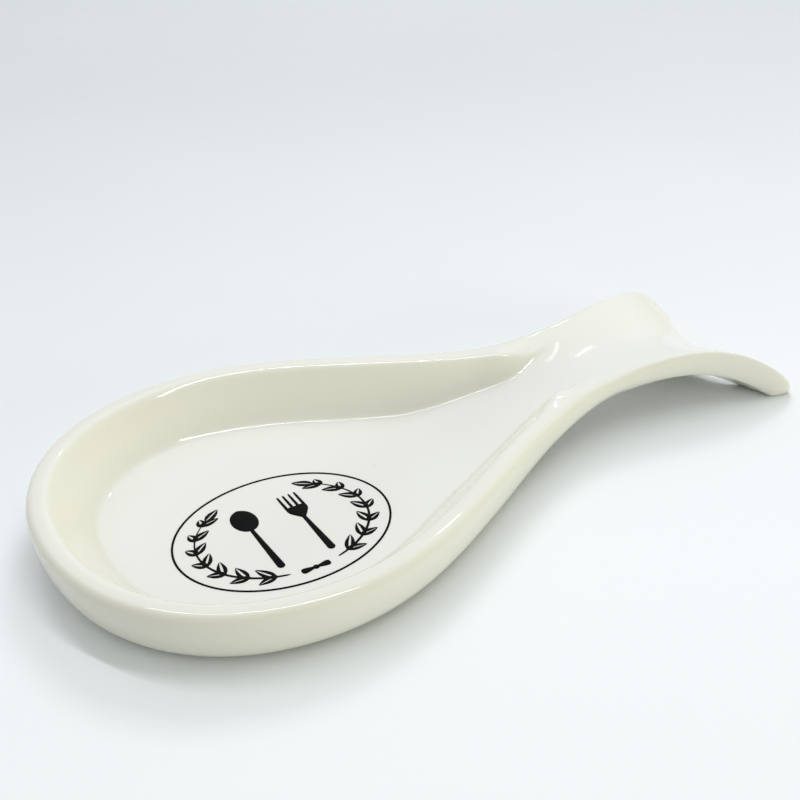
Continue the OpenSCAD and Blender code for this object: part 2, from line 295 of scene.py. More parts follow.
@dataclass(frozen=True)
class TrayBody:
    """Teardrop bowl, bridged handle and fishtail of the one-piece tray, in millimetres.

    Distances ending in _at, _start and _end are measured from the bowl's front. Shares are
    corner_share and heel_share of tip_width, spine_bowl of bowl_widest_at, spine_tail of the
    way from arch to notch, least_reach of the straight way to the spine, band_limit of the
    reach, crest_width of wall_top_inset, foot_shade_middle and foot_shade_spread of the foot's inset.
    """

    length: float = 250.0
    bowl_half_width: float = 64.5
    bowl_widest_at: float = 65.0
    bowl_front_power: float = 2.15
    rim_height: float = 19.0
    floor_height: float = 4.8
    rim_radius: float = 2.4
    wall_top_inset: float = 4.5
    wall_foot_inset: float = 20.5
    wall_rounding: float = 0.2
    rim_dome: float = 0.25
    under_inset: float = 7.5
    neck_at: float = 185.5
    neck_half_width: float = 20.8
    ramp_start: float = 120.0
    ramp_end: float = 186.0
    fade_start: float = 170.0
    fade_end: float = 192.0
    end_top_inset: float = 9.5
    end_foot_inset: float = 14.0
    handle_dish: float = 3.7
    handle_thickness: float = 8.8
    under_start: float = 126.0
    under_end: float = 186.0
    arch_at: float = 205.0
    arch_height: float = 22.8
    arch_start: float = 155.0
    tail_half_width: float = 36.5
    flare_power: float = 1.9
    droop_power: float = 2.65
    tip_height: float = 4.0
    notch_at: float = 233.0
    tip_width: float = 8.4
    tip_round_share: float = 0.5
    notch_power: float = 2.0
    tail_dish: float = 7.0
    tip_thickness: float = 10.8
    tip_band_share: float = 0.42
    foot_height: float = 1.0
    corner_share: float = 0.3
    heel_share: float = 0.1
    spine_bowl: Pair = (0.78, 0.97)
    spine_tail: Pair = (0.1, 0.5)
    spine_gather: float = 1.3
    least_reach: float = 0.4
    band_limit: float = 0.86
    crest_width: float = 1.4
    crest_drop: float = 3.5
    foot_shade_middle: float = 0.94
    foot_shade_spread: float = 0.17
    fineness: Fineness = Fineness()

    def half_width(self, x: Array) -> Array:
        """Half of the plan width: a rounded front, a cosine shoulder, then a power flare.

        Args:
            x: Distances from the bowl's front.

        Returns:
            Half widths.
        """
        ahead = np.clip(1 - x / self.bowl_widest_at, 0, 1) ** self.bowl_front_power
        bowl = self.bowl_half_width * (1 - ahead) ** (1 / self.bowl_front_power)
        turn = math.pi * (x - self.bowl_widest_at) / (self.neck_at - self.bowl_widest_at)
        shoulder = mix(self.neck_half_width, self.bowl_half_width, (1 + np.cos(turn)) / 2)
        out = part_way(x, self.neck_at, self.length)
        flare = mix(self.neck_half_width, self.tail_half_width, out**self.flare_power)
        return np.where(x < self.bowl_widest_at, bowl, np.where(x < self.neck_at, shoulder, flare))

    def edge_height(self, x: Array) -> Array:
        """Height of the edge: level round the bowl, up to the arch, down to the tips.

        Args:
            x: Distances from the bowl's front.

        Returns:
            Heights over the table.
        """
        up = between(x, self.arch_start, self.arch_at)
        rise = mix(self.rim_height, self.arch_height, up)
        out = part_way(x, self.arch_at, self.length)
        droop = mix(self.arch_height, self.tip_height, out**self.droop_power)
        return np.where(x < self.arch_at, rise, droop)

    def tail_share(self, x: Array) -> Array:
        """How far the handle has become the open fishtail: 0 at the arch, 1 at the notch."""
        return between(x, self.arch_at, self.notch_at)

    def ramp_share(self, x: Array) -> Array:
        """How far the bowl's floor has climbed into the handle."""
        return between(x, self.ramp_start, self.ramp_end)

    def saddle(self, x: Array, y: Array) -> Array:
        """Height of the handle's shallow trough, carried on over the bowl.

        Across the trough the height is edge - dish * (1 - a^2 * (2 - a)), where a is the
        distance from the long axis as a share of the half width.

        Args:
            x: Distances from the bowl's front.
            y: Distances from the long axis.

        Returns:
            Heights over the table.
        """
        across = np.clip(np.abs(y) / np.maximum(self.half_width(x), self.rim_radius), 0, 1)
        dish = mix(self.handle_dish, self.tail_dish, self.tail_share(x))
        return self.edge_height(x) - dish * (1 - across * across * (2 - across))

    def trough(self, x: Array, y: Array) -> Array:
        """Height of the middle surface: flat in the bowl, then a climb to the saddle."""
        return mix(self.floor_height, self.saddle(x, y), self.ramp_share(x))

    def crown(self, x0: Array, x: Array, y: Array) -> Array:
        """Height over the wall band: the edge's at outline places x0, faded into the saddle."""
        faded = between(x0, self.fade_start, self.fade_end)
        return mix(self.edge_height(x0), self.saddle(x, y), faded)

    def under_low(self, x: Array, y: Array) -> Array:
        """Height of the underside away from the wall, never below the table.

        Args:
            x: Distances from the bowl's front.
            y: Distances from the long axis.

        Returns:
            The foot's height under the bowl, the saddle less the thickness in the handle.
        """
        out = between(x, self.arch_at, self.length)
        thickness = mix(self.handle_thickness, self.tip_thickness, out)
        share = between(x, self.under_start, self.under_end)
        return np.maximum(0, mix(self.foot_height, self.saddle(x, y) - thickness, share))

    def controls(self) -> Array:
        """Control points of half the plan outline, from the bowl's front to the notch."""
        f = self.fineness
        turn = math.pi / 2 * np.arange(f.front_pieces + 1) / f.front_pieces
        front = self.bowl_widest_at * (1 - np.cos(turn))
        side_end = self.length - self.tip_width * self.tip_round_share
        side = mix(self.bowl_widest_at, side_end, np.arange(1, f.side_pieces + 1) / f.side_pieces)
        x = np.concatenate([front, side])
        edge_from = self.tail_half_width - self.tip_width
        corner = [self.length, self.tail_half_width - self.tip_width * self.corner_share]
        y = edge_from * (1 - np.arange(1, f.end_pieces + 1) / f.end_pieces)
        deep = (y / edge_from) ** self.notch_power
        back = mix(self.notch_at, self.length - self.tip_width * self.heel_share, deep)
        sides = np.stack([x, self.half_width(x)], -1)
        tips = np.array([corner, [self.length, edge_from]])
        return np.concatenate([sides, tips, np.stack([back, y], -1)])

    def outline(self) -> Array:
        """Smooths the control points by a uniform cubic B-spline and restores the length.

        Returns:
            Points of half the outline, n by 2.
        """
        half = self.controls()
        across = np.array([1, -1])
        held = np.concatenate([half[1:2] * across, half, half[-2:-1] * across])
        pieces = len(half) - 1
        steps = self.fineness.points_per_piece
        i = np.append(np.repeat(np.arange(pieces), steps), pieces - 1)
        f = np.append(np.tile(np.arange(steps) / steps, pieces), 1.0)[:, None]
        raw = (
            (1 - f) ** 3 * held[i]
            + (3 * f**3 - 6 * f**2 + 4) * held[i + 1]
            + (-3 * f**3 + 3 * f**2 + 3 * f + 1) * held[i + 2]
            + f**3 * held[i + 3]
        ) / 6
        front = raw[0, 0]
        stretch = self.length / (raw[:, 0].max() - front)
        return np.stack([(raw[:, 0] - front) * stretch, raw[:, 1]], -1)

    def spine(self, count: int) -> Array:
        """Places on the long axis that the outline points look at.

        Args:
            count: Number of outline points.

        Returns:
            One distance from the front for each outline point.
        """
        f = self.fineness
        i = np.arange(count)
        wide = f.front_pieces * f.points_per_piece
        tip = (f.front_pieces + f.side_pieces + 1) * f.points_per_piece
        start, middle = self.bowl_widest_at * np.array(self.spine_bowl)
        tail, notch = mix(self.arch_at, self.notch_at, np.array(self.spine_tail))
        side = mix(middle, tail, part_way(i, wide, tip) ** self.spine_gather)
        end = mix(tail, notch, (i - tip) / (count - 1 - tip))
        return np.where(i > tip, end, np.where(i < wide, mix(start, middle, i / wide), side))

    def rings(self) -> Rings:
        """Lists the rings. Rim and outer rings are spaced by the angle of a quarter turn."""
        f = self.fineness
        quarter = math.pi / 2
        floor = 1 - np.arange(f.floor_rings) / f.floor_rings
        wall = mix(self.wall_foot_inset, self.rim_radius, np.arange(f.wall_rings) / f.wall_rings)
        rim = 1 - np.sin(quarter * np.arange(f.rim_rings + 1) / f.rim_rings)
        outer = 1 - np.cos(quarter * np.arange(1, f.outer_rings + 1) / f.outer_rings)
        under = np.arange(1, f.under_rings + 1) / f.under_rings
        band = np.concatenate([wall, self.rim_radius * rim, self.under_inset * outer])
        inner = np.concatenate([floor, 0 * band, under])
        held = [self.wall_foot_inset + 0 * floor, band, self.under_inset + 0 * under]
        top_count = len(floor) + len(wall) + len(rim)
        return Rings(inner, np.concatenate(held), np.arange(len(inner)) < top_count)

    def reach(self, half: Array, spine: Array) -> Array:
        """Distance from the outline to the spine, measured square to the outline.

        Args:
            half: Points of half the outline, n by 2.
            spine: The spine place of each point, as its distance from the front.

        Returns:
            The distances, held up to a share of the straight way.
        """
        flip = np.array([1, -1])
        steps = np.vstack([half[1:], half[-2] * flip]) - np.vstack([half[1] * flip, half[:-1]])
        way = np.stack([spine - half[:, 0], -half[:, 1]], -1)
        least = self.least_reach * np.linalg.norm(way, axis=1)
        return np.maximum((way * right_of(steps)).sum(1), least)

    def wall_band(self, x0: Array) -> tuple[Array, Array]:
        """Insets of the inner wall's brink and foot at outline points."""
        closing = between(x0, self.arch_start, self.ramp_end)
        brink = mix(self.wall_top_inset, self.end_top_inset, closing)
        return brink, mix(self.wall_foot_inset, self.end_foot_inset, self.ramp_share(x0))

    def rim_drop(self, inset: Array, brink: Array) -> Array:
        """How far the rim lies below its crown: a quarter circle and a low dome to the brink."""
        gap = np.clip(self.rim_radius - inset, 0, self.rim_radius)
        rounding = self.rim_radius - np.sqrt(self.rim_radius**2 - gap**2)
        return rounding + self.rim_dome * np.clip(1 - inset / brink, 0, 1) ** 2

    def grid(self) -> tuple[Array, dict[str, Array]]:
        """Works out every ring of the closed skin.

        A ring point lies on the straight line from an outline point to its spine point. The
        top skin blends from the crown to the trough over the wall band, less the drop of the
        rim. The under skin is a quarter ellipse from the rim to the underside. The crest marks
        painted shade over the rim, and the foot shade marks painted shade in a soft line along
        the foot of the inner wall.

        Returns:
            The left half of the grid, rings by points by 3, and the marks of its points.
        """
        rings = self.rings()
        inner, inset, is_top = (v[:, None] for v in (rings.inner, rings.inset, rings.is_top))
        half = self.outline()
        x0, y0 = half[:, 0], half[:, 1]
        spine = self.spine(len(half))
        reach = self.reach(half, spine)
        narrowed = mix(1, self.tip_band_share, between(x0, self.arch_start, self.length))
        scale = np.minimum(self.band_limit * reach / self.wall_foot_inset, narrowed)
        share = mix(inset * scale / reach, 1, inner)
        inset = share * reach / scale
        x, y = mix(x0, spine, share), y0 * (1 - share)
        brink, foot = self.wall_band(x0)
        fall = rounded_ramp((inset - brink) / (foot - brink), self.wall_rounding)
        top = mix(self.crown(x0, x, y), self.trough(x, y), fall) - self.rim_drop(inset, brink)
        shoulder = self.crown(x0, x0, y0) - self.rim_radius - self.rim_dome
        turned = 1 - np.clip(inset / self.under_inset, 0, 1)
        under = mix(self.under_low(x, y), shoulder, 1 - np.sqrt(np.maximum(0, 1 - turned**2)))
        z = np.where(is_top, top, under)
        inside = inset / (self.crest_width * self.wall_top_inset)
        ridge = np.where(is_top, inside, (shoulder - z) / self.crest_drop)
        # Painted shade: a soft dark line along the foot of the inner wall, fading as the floor
        # climbs into the handle.
        corner = np.exp(-(((inset / foot - self.foot_shade_middle) / self.foot_shade_spread) ** 2))
        marks = {
            "crest": 1 - ease(ridge),
            "pool": np.where(is_top, corner * (1 - self.ramp_share(x)), 0),
        }
        return np.stack([x - self.length / 2, y, z], -1), marks

    def mesh(self) -> MeshData:
        """Mirrors the half grid and cuts each cell so that no triangle falls flat.

        Returns:
            The closed skin as triangles, with its marks.
        """
        left, half_marks = self.grid()
        whole = np.concatenate([left, left[:, -2:0:-1] * [1, -1, 1]], axis=1)
        marks = {
            name: np.concatenate([values, values[:, -2:0:-1]], axis=1).reshape(-1)
            for name, values in half_marks.items()
        }
        rows, columns = whole.shape[:2]
        cells = closed_grid(whole)
        a, b, c, d = cells.faces.reshape(rows - 1, columns, 4).transpose(2, 0, 1)
        turned = np.arange(rows - 1)[:, None] >= self.rings().is_top.sum()
        forward = (2 * np.arange(columns) // (left.shape[1] - 1) + turned) % 2 == 0
        first = np.stack([a, b, np.where(forward, c, d)], -1)
        second = np.stack([np.where(forward, a, b), c, d], -1)
        faces = np.concatenate([first.reshape(-1, 3), second.reshape(-1, 3)])
        # The steepness masks the painted shade that the glaze lays on its walls.
        marks["steep"] = steepness(cells.points, faces)
        return MeshData(cells.points, faces, marks)

    def build(self, material: Material) -> bpy.types.Object:
        """Builds the visible skin in place of the CAD node."""
        return Piece("tray_skin", Slot.GLAZE, ("glazed_body",)).build(self.mesh(), material)


@dataclass(frozen=True)
class FootBead:
    """Unglazed ring under the bowl: a low rounded bead carried round an egg, in millimetres."""

    width: float = 4.0
    inset: float = 14.0
    reach: float = 58.0
    sunk: float = 0.3
    steps: int = 200
    profile_steps: int = 16
    squareness: float = 3.6

    def mesh(self, body: TrayBody) -> MeshData:
        """Carries a rounded box profile along the middle line of the ring.

        The line is two half ellipses with one width. The profile is a superellipse whose
        top is held in the tray's underside.

        Args:
            body: The tray that the ring carries.

        Returns:
            The closed ring.
        """
        mid = self.inset + self.width / 2
        a = full_turn(self.steps)
        ahead = np.where(np.cos(a) < 0, body.bowl_widest_at - mid, self.reach + self.inset - mid)
        line = np.stack([np.cos(a) * ahead, np.sin(a) * (body.bowl_half_width - mid)], -1)
        out = right_of(loop_steps(line))
        t = full_turn(self.profile_steps)
        power = 2 / self.squareness
        side, rise = (np.sign(v) * np.abs(v) ** power for v in (np.cos(t), np.sin(t)))
        across = side * self.width / 2
        up = (1 + rise) * (body.foot_height + self.sunk) / 2
        flat = line[:, None, :] + out[:, None, :] * across[None, :, None]
        x = flat[..., 0] + body.bowl_widest_at - body.length / 2
        grid = np.stack([x, flat[..., 1], np.broadcast_to(up, x.shape)], -1)
        return closed_grid(np.concatenate([grid, grid[:1]]))

    def build(self, body: TrayBody, material: Material) -> bpy.types.Object:
        """Builds the visible ring in place of the CAD node."""
        return Piece("foot_bead", Slot.BISCUIT, ("foot_ring",)).build(self.mesh(body), material)


@dataclass(frozen=True)
class Stroke:
    """One printed stroke: a line in plan with a half width along it, in millimetres.

    Attributes:
        path: Points of the line, n by 2.
        half_width: Half of the stroke's width at each point.
        closed: True where the line's end meets its start.
    """

    path: Array
    half_width: Array
    closed: bool = False

    def moved(self, turn: float, to: Pair) -> "Stroke":
        """Turns the stroke round the origin by radians, anticlockwise, then shifts it."""
        c, s = math.cos(turn), math.sin(turn)
        path = self.path @ np.array([[c, s], [-s, c]]) + to
        return Stroke(path, self.half_width, self.closed)

    def mesh(
        self, thickness: float, steps: int = 9, side: float = 0.35, flatness: int = 8
    ) -> MeshData:
        """Carries a flat-bottomed low dome along the line.

        With s from -1 to 1 across the stroke, the height is h * (side + (1 - side) *
        (1 - s^flatness)), so the ink has a flat top and soft shoulders. Its h is the
        thickness, or the stroke's width where that is less.

        Args:
            thickness: Height of the ink.
            steps: Points across the top.
            side: Height of the stroke's sides as a share of its middle height.
            flatness: Power of the dome.

        Returns:
            The closed stroke, with its bottom at height 0.
        """
        ahead = loop_steps(self.path) if self.closed else np.gradient(self.path, axis=0)
        across = -right_of(ahead)
        s = np.sin(np.linspace(-1, 1, steps) * math.pi / 2)
        top = self.path[:, None] + across[:, None] * (self.half_width[:, None] * s)[..., None]
        tall = (thickness * np.minimum(1, self.half_width * 2 / thickness))[:, None]
        high = side * tall + (1 - side) * tall * (1 - s**flatness)
        upper = np.concatenate([top, high[..., None]], -1)
        low = np.zeros((len(self.path), 2, 1))
        lower = np.concatenate([np.stack([top[:, -1], top[:, 0]], 1), low], -1)
        grid = np.concatenate([upper, lower], axis=1)
        return closed_grid(np.concatenate([grid, grid[:1]]) if self.closed else grid)


@dataclass(frozen=True)
class PrintSteps:
    """Numbers of points along the printed strokes."""

    ring: int = 240
    stem: int = 60
    leaf: int = 22
    spoon: int = 120
    fork: int = 110
    tine: int = 24
    loop: int = 24
    bead: int = 22


@dataclass(frozen=True)
class Ornament:
    """Generic print on the bowl's floor, in millimetres round its own middle.

    The clearance is the gap to the foot of the near inner wall. Shares are leaf_shrink,
    outer_leaf and end_leaf of leaf_length, first_leaf of the step from pair to pair,
    spoon_overlap of spoon_bowl, head_low and head_rise of fork_root, knot_waist and knot_bead
    of knot_height, and layer_drop of the print's thickness. With leaf_skew below 1 a leaf is
    widest nearer its root.
    """

    at: float = 67.0
    clearance: float = 4.5
    radius: float = 26.5
    stretch: float = 1.26
    ring_line: float = 0.7
    sprig_radius: float = 21.0
    stem_width: float = 0.8
    sprig_start: float = 16.0
    sprig_end: float = 140.0
    leaf_length: float = 7.2
    leaf_width: float = 2.7
    leaf_lean: float = 38.0
    leaf_pairs: int = 7
    rib_gap: float = 0.34
    spoon_length: float = 30.0
    spoon_width: float = 8.0
    spoon_bowl: float = 11.0
    handle_end: float = 2.4
    handle_waist: float = 1.2
    utensil_gap: float = 8.0
    fork_width: float = 6.6
    tine_length: float = 7.0
    tine_width: float = 1.0
    fork_root: float = 5.0
    knot_half: float = 4.6
    knot_height: float = 3.2
    leaf_skew: float = 0.8
    leaf_shrink: float = 0.3
    first_leaf: float = 0.6
    outer_leaf: float = 0.72
    end_leaf: float = 0.8
    spoon_overlap: float = 0.9
    head_low: float = 0.6
    head_rise: float = 1.3
    tines: int = 4
    tine_sunk: float = 0.6
    tine_extra: float = 0.5
    tine_taper: float = 0.3
    tine_roundness: int = 10
    knot_waist: float = 0.2
    knot_bead: float = 0.3
    loop_roundness: int = 6
    layer_drop: float = 0.04
    layers: int = 3
    steps: PrintSteps = PrintSteps()

    def ring(self) -> list[Stroke]:
        """Thin oval line: a cos t along the tray, b sin t across it."""
        t = full_turn(self.steps.ring)
        inset = self.ring_line / 2
        long, high = self.radius * self.stretch - inset, self.radius - inset
        path = np.stack([long * np.cos(t), high * np.sin(t)], -1)
        return [Stroke(path, np.full(len(t), inset), closed=True)]

    def leaf(self, long: float) -> list[Stroke]:
        """Two halves of a pointed leaf with a bare rib between them.

        The leaf's half width is w sin(pi t^leaf_skew) along its length t. Each half fills
        what the rib leaves of one side.

        Args:
            long: Length of the leaf.

        Returns:
            The two halves, with the root at the origin and the tip along +X.
        """
        t = sweep(self.steps.leaf)
        half = self.leaf_width / 2 * np.sin(math.pi * t**self.leaf_skew)
        filled = np.maximum(0, half - self.rib_gap / 2 * np.sqrt(np.sin(math.pi * t))) / 2
        middle = half - filled
        x = t * long - self.stem_width
        halves = [np.stack([x, middle], -1), np.stack([x, -middle], -1)]
        return [Stroke(path, filled) for path in halves]

    def leaf_on_stem(self, place: float, lean: float, long: float) -> list[Stroke]:
        """Puts a leaf's root on the stem's arc.

        Args:
            place: Place on the arc in degrees, anticlockwise from its lowest point.
            lean: Angle between the leaf and the stem in degrees, anticlockwise.
            long: Length of the leaf.

        Returns:
            The two halves of the leaf.
        """
        a = math.radians(place - 90)
        root = (math.cos(a) * self.sprig_radius, math.sin(a) * self.sprig_radius)
        return [s.moved(a + math.pi / 2 + math.radians(lean), root) for s in self.leaf(long)]

    def sprig(self, side: int) -> list[Stroke]:
        """Stem on an arc of the oval, with leaves to both sides and one at the end.

        Args:
            side: 1 for the sprig towards the handle, -1 for the one towards the front.

        Returns:
            The strokes of one sprig.
        """
        t = np.linspace(0, 1, self.steps.stem)
        turn = np.radians(mix(self.sprig_start, self.sprig_end, t) - 90)
        stem = self.sprig_radius * np.stack([np.cos(turn), np.sin(turn)], -1)
        strokes = [Stroke(stem, self.stem_width / 2 * np.sqrt(np.sin(math.pi * np.sqrt(t))))]
        for i in range(self.leaf_pairs):
            place = (i + self.first_leaf) / self.leaf_pairs
            place = mix(self.sprig_start, self.sprig_end, place)
            size = self.leaf_length * (1 - self.leaf_shrink * i / self.leaf_pairs)
            strokes += self.leaf_on_stem(place, -self.leaf_lean, size * self.outer_leaf)
            strokes += self.leaf_on_stem(place, self.leaf_lean, size)
        strokes += self.leaf_on_stem(self.sprig_end, 0, self.leaf_length * self.end_leaf)
        scale = np.array([side * self.stretch, 1.0])
        return [Stroke(s.path * scale, s.half_width) for s in strokes]

    def shaft(self, y: Array, long: float) -> Array:
        """Half width of a utensil's handle: a round end, then a straight taper to the waist.

        Args:
            y: Heights over the handle's end.
            long: Where the waist is reached.

        Returns:
            Half widths, 0 below the round end.
        """
        end = self.handle_end / 2
        taper = mix(end, self.handle_waist / 2, np.clip(y / long, 0, 1))
        cap = np.sqrt(np.maximum(0, end**2 - np.minimum(y, 0) ** 2))
        return np.minimum(taper, cap)

    def upright(self, at: float, y: Array, half_width: Array) -> Stroke:
        """Stroke of a utensil along an upright line, with its middle at height 0."""
        return Stroke(np.stack([np.full_like(y, at), y - self.spoon_length / 2], -1), half_width)

    def spoon(self) -> list[Stroke]:
        """Spoon in one stroke: its half width is the larger of the shaft and the bowl's oval."""
        long = self.spoon_length - self.spoon_bowl * self.spoon_overlap
        y = mix(-self.handle_end / 2, self.spoon_length, sweep(self.steps.spoon))
        off = (y - self.spoon_length + self.spoon_bowl / 2) / (self.spoon_bowl / 2)
        bowl = self.spoon_width / 2 * np.sqrt(np.maximum(0, 1 - off**2))
        width = np.maximum(np.where(off < 0, self.shaft(y, long), 0), bowl)
        return [self.upright(-self.utensil_gap, y, width)]

    def fork(self) -> list[Stroke]:
        """Fork: a shaft that eases out into the head, and round-ended tines."""
        neck = self.spoon_length - self.tine_length - self.fork_root
        top = neck + self.fork_root
        y = mix(-self.handle_end / 2, top, sweep(self.steps.fork))
        risen = y - neck + self.fork_root * self.head_low
        out = ease(risen / (self.fork_root * self.head_rise))
        width = np.maximum(self.shaft(y, neck), out * self.fork_width / 2)
        width[-1] = 0
        strokes = [self.upright(self.utensil_gap, y, width)]
        t = np.linspace(0, 1, self.steps.tine)
        up = top - self.tine_sunk + (self.tine_length + self.tine_extra) * t
        half = self.tine_width / 2
        wide = half * np.sqrt(1 - t**self.tine_roundness) * (1 - self.tine_taper * t)
        wide[0] = 0
        for k in range(self.tines):
            off = mix(-1, 1, k / (self.tines - 1)) * (self.fork_width / 2 - half)
            strokes.append(self.upright(self.utensil_gap + off, up, wide))
        return strokes

    def knot(self) -> list[Stroke]:
        """Small knot: two loops that widen from a round middle."""
        t = np.linspace(0, 1, self.steps.loop)
        rounded = np.sqrt(1 - t**self.loop_roundness)
        loop = self.knot_height / 2 * mix(self.knot_waist, 1, t) * rounded
        loop[0] = 0
        drop = -self.sprig_radius
        strokes = [
            Stroke(np.stack([side * self.knot_half * t, np.full_like(t, drop)], -1), loop)
            for side in (-1, 1)
        ]
        s = np.cos(np.linspace(math.pi, 0, self.steps.bead))
        bead = self.knot_height * self.knot_bead
        ball = np.stack([bead * s, np.full_like(s, drop)], -1)
        return strokes + [Stroke(ball, bead * np.sqrt(np.maximum(0, 1 - s**2)))]

    def build(self, body: TrayBody, material: Material) -> list[bpy.types.Object]:
        """Builds each printed element on the bowl's floor in place of its CAD node.

        Neighbouring strokes differ a little in height, so that no two tops share a plane.

        Args:
            body: The tray that carries the print.
            material: Finish of the ink.

        Returns:
            The printed pieces.
        """
        low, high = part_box("print_ring")
        base, thickness = low.z / MM, (high.z - low.z) / MM
        drawn = {
            "ring": self.ring(),
            "sprig_left": self.sprig(-1),
            "sprig_right": self.sprig(1),
            "spoon": self.spoon(),
            "fork": self.fork(),
            "knot": self.knot(),
        }
        side = self.radius + self.clearance - (body.bowl_half_width - body.wall_foot_inset)
        shift = np.array([self.at - body.length / 2, side, base])
        heights = [thickness * (1 - self.layer_drop * k) for k in range(self.layers)]
        pieces = []
        for name, strokes in drawn.items():
            parts = [s.mesh(heights[k % self.layers]) for k, s in enumerate(strokes)]
            data = MeshData.together(parts)
            data.points = data.points + shift
            pieces.append(Piece(f"ink_{name}", Slot.INK, (f"print_{name}",)).build(data, material))
        return pieces


class Graph:
    """Shader tree in the making: adds nodes to it and links them."""

    def __init__(self, tree: bpy.types.NodeTree) -> None:
        """Keeps the tree and empties it."""
        self.tree = tree
        tree.nodes.clear()

    def fill(self, node: bpy.types.Node, inputs: dict[Any, Any]) -> bpy.types.Node:
        """Fills or links inputs of a node.

        Args:
            node: The node.
            inputs: Values or output sockets by input name or number.

        Returns:
            The same node.
        """
        for key, value in inputs.items():
            if isinstance(value, bpy.types.NodeSocket):
                self.tree.links.new(value, node.inputs[key])
            else:
                node.inputs[key].default_value = value
        return node

    def add(
        self, kind: str, inputs: dict[Any, Any] | None = None, **settings: Any
    ) -> bpy.types.Node:
        """Adds one node, sets its properties and fills or links its inputs.

        Args:
            kind: Blender's node type.
            inputs: Values or output sockets by input name or number.
            **settings: Properties of the node.

        Returns:
            The node.
        """
        node = self.tree.nodes.new(kind)
        for name, value in settings.items():
            setattr(node, name, value)
        return self.fill(node, inputs or {})

    def noise(self, vector: Any, scale: Any, detail: float = 2.0) -> Any:
        """Noise with features of about 1 / scale metres, as its value output."""
        sockets = {"Vector": vector, "Scale": scale, "Detail": detail}
        return self.add("ShaderNodeTexNoise", sockets).outputs["Fac"]

    def span(self, value: Any, low: float, high: float, to: Pair = (0, 1)) -> Any:
        """Maps the range low to high onto another range with a smooth step."""
        sockets = {0: value, 1: low, 2: high, 3: to[0], 4: to[1]}
        node = self.add("ShaderNodeMapRange", sockets, interpolation_type="SMOOTHSTEP")
        return node.outputs[0]

    def spread(self, noise: Any, to: Pair = (0, 1), margin: float = 0.3) -> Any:
        """Stretches the middle of a noise's values, without a margin at each end, to a range."""
        return self.span(noise, margin, 1 - margin, to)

    def maths(self, operation: str, a: Any, b: Any = 0.0) -> Any:
        """One arithmetic operation on two values."""
        return self.add("ShaderNodeMath", {0: a, 1: b}, operation=operation).outputs[0]

    def colour(self, share: Any, low: Any, high: Any) -> Any:
        """Blends two colours by a share. A colour is a socket or three linear numbers."""
        # Inputs 6 and 7 and output 2 are the colour sockets of Blender's mix node.
        ends = {k: (*v, 1.0) if isinstance(v, tuple) else v for k, v in ((6, low), (7, high))}
        return self.add("ShaderNodeMix", {0: share, **ends}, data_type="RGBA").outputs[2]


@dataclass(frozen=True)
class FiredSurface:
    """Shared unevenness of a fired surface: slow waves, fine orange peel and pinholes.

    Attributes:
        wave: Waves per metre.
        peel: Peel bumps per metre.
        pit: Cells per metre that may hold a pinhole.
        pit_share: Share of the cells that hold one.
        PIT_EDGE: Where a pinhole's edge starts and ends, in cells from its middle.
        PARTS: Parts of the waves, the peel and the pinholes in the height.
    """

    wave: float
    peel: float
    pit: float
    pit_share: float
    PIT_EDGE: ClassVar[Pair] = (0.05, 0.14)
    PARTS: ClassVar[Triple] = (0.6, 0.4, 0.5)

    @classmethod
    def group(cls) -> bpy.types.NodeTree:
        """Makes the node group, or finds the one that is there.

        Returns:
            A group with the outputs Drift, Peel and Pits from 0 to 1, and Height.
        """
        if "fired_surface" in bpy.data.node_groups:
            return bpy.data.node_groups["fired_surface"]
        tree = bpy.data.node_groups.new("fired_surface", "ShaderNodeTree")
        tree.interface.new_socket("Vector", in_out="INPUT", socket_type="NodeSocketVector")
        for label in ("Wave Scale", "Peel Scale", "Pit Scale", "Pit Share"):
            tree.interface.new_socket(label, in_out="INPUT", socket_type="NodeSocketFloat")
        for label in ("Drift", "Peel", "Pits", "Height"):
            tree.interface.new_socket(label, in_out="OUTPUT", socket_type="NodeSocketFloat")
        g = Graph(tree)
        given = g.add("NodeGroupInput").outputs
        wave = g.noise(given["Vector"], given["Wave Scale"])
        peel = g.noise(given["Vector"], given["Peel Scale"], detail=3.0)
        sockets = {"Vector": given["Vector"], "Scale": given["Pit Scale"]}
        cells = g.add("ShaderNodeTexVoronoi", sockets)
        keep = g.add("ShaderNodeSeparateColor", {0: cells.outputs["Color"]}).outputs[0]
        chosen = g.maths("LESS_THAN", keep, given["Pit Share"])
        hole = g.span(cells.outputs["Distance"], *cls.PIT_EDGE, (1, 0))
        pits = g.maths("MULTIPLY", chosen, hole)
        drift = g.spread(wave)
        parts = zip((drift, peel, pits), cls.PARTS)
        waves, bumps, holes = (g.maths("MULTIPLY", value, part) for value, part in parts)
        height = g.maths("SUBTRACT", g.maths("ADD", waves, bumps), holes)
        g.add("NodeGroupOutput", {"Drift": drift, "Peel": peel, "Pits": pits, "Height": height})
        return tree

    def place(self, graph: Graph, vector: Any) -> Any:
        """Puts the group into a material with these values.

        Args:
            graph: The material's graph.
            vector: Object coordinates.

        Returns:
            The group's outputs.
        """
        node = graph.add("ShaderNodeGroup", node_tree=self.group())
        sockets = {
            "Vector": vector,
            "Wave Scale": self.wave,
            "Peel Scale": self.peel,
            "Pit Scale": self.pit,
            "Pit Share": self.pit_share,
        }
        return graph.fill(node, sockets).outputs


